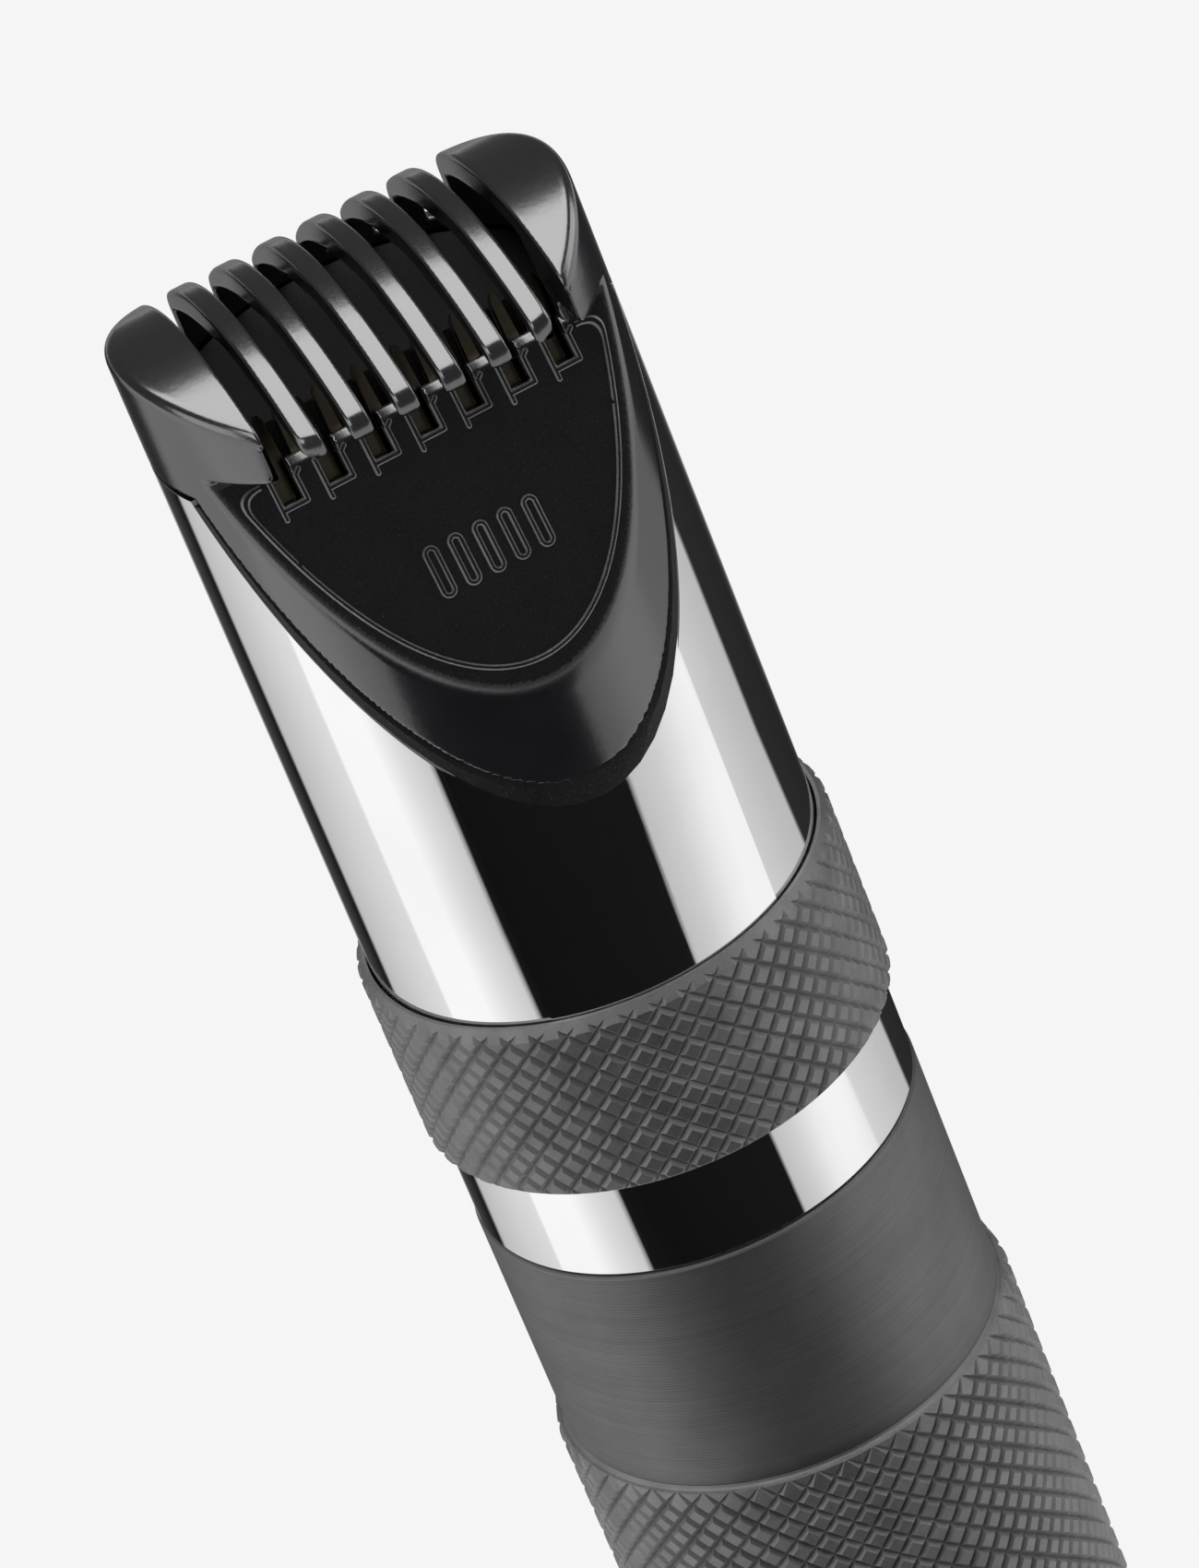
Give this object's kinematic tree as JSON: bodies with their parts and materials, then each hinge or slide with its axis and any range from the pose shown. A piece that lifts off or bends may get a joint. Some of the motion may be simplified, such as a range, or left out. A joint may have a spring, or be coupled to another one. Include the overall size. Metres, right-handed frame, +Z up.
{
  "type": "beard trimmer",
  "caption": "Cordless beard trimmer with a knurled metal handle, twist-ring switch, slanted cutting head and pull-off guide comb.",
  "frame": {"origin": "centre of the flat base of the end cap, on which the trimmer stands", "axes": "+Z up along the handle, -Y the side that the guide comb's flat plate faces, +X to its right seen from the front"},
  "size_m": [0.036, 0.036, 0.1658],
  "materials": {
    "polished_chrome": "mirror polished, with a faint drawn grain",
    "dark_aluminium": "dark grey anodised, fine turning lines, satin",
    "comb_plastic": "black, glossy tines and finely grained plate",
    "housing_plastic": "black, fine spark-eroded texture",
    "frame_plastic": "moulded",
    "nylon": "moulded white nylon",
    "blade_steel": "ground",
    "plain_steel": "zinc plated",
    "brass": "turned",
    "seal_rubber": "moulded",
    "board_green": "solder mask",
    "cell_wrap": "shrink sleeve",
    "lead_red": "insulated wire",
    "lead_black": "insulated wire"
  },
  "bodies": {
    "handle": {"chrome_tube": "polished_chrome", "grip_tube": "dark_aluminium", "coupling_sleeve": "brass", "coupling_seal": "seal_rubber", "end_cap": "dark_aluminium", "end_cap_seal": "seal_rubber", "charge_socket": "plain_steel", "socket_board": "board_green", "battery_cell": "cell_wrap", "battery_tab_plus": "brass", "battery_tab_minus": "brass", "battery_lead_black": "lead_black", "battery_cradle": "frame_plastic", "circuit_board": "board_green", "charge_chip": "housing_plastic", "slide_switch": "plain_steel", "detent_spring": "plain_steel", "motor_can": "plain_steel", "motor_end_bell": "housing_plastic", "motor_mount": "frame_plastic", "motor_screw_left": "plain_steel", "motor_screw_right": "plain_steel", "motor_lead_red": "lead_red", "motor_lead_black": "lead_black", "head_housing": "housing_plastic", "fixed_blade": "blade_steel", "blade_screw_left": "plain_steel", "blade_screw_right": "plain_steel", "blade_spring": "plain_steel"},
    "comb": {"guide_comb": "comb_plastic"},
    "cutter": {"moving_blade": "blade_steel", "drive_fork": "nylon"},
    "rotor": {"motor_shaft": "plain_steel", "eccentric_cam": "brass"},
    "ring": {"twist_ring": "dark_aluminium", "ring_drive_pin": "plain_steel"},
    "switch": {"switch_slider": "nylon"}
  },
  "joints": [
    {"name": "comb_pull_off", "type": "slide", "parent": "handle", "child": "comb", "axis": [0, 0, 1], "range_m": [0, 0.032]},
    {"name": "cutter_stroke", "type": "slide", "parent": "handle", "child": "cutter", "axis": [1, 0, 0], "range_m": [-0.0013, 0.0013]},
    {"name": "motor_spin", "type": "hinge", "parent": "handle", "child": "rotor", "pos_m": [0, 0, 0.125], "axis": [0, 0, 1], "continuous": true},
    {"name": "ring_twist", "type": "hinge", "parent": "handle", "child": "ring", "pos_m": [0, 0, 0.10422], "axis": [0, 0, 1], "range_deg": [0, 24]},
    {"name": "switch_slide", "type": "slide", "parent": "handle", "child": "switch", "axis": [-1, 0, 0], "range_m": [0, 0.0058]}
  ],
  "couplings": [
    {"joint": "switch_slide", "follows": "ring_twist", "m_per_rad": 0.01384}
  ]
}
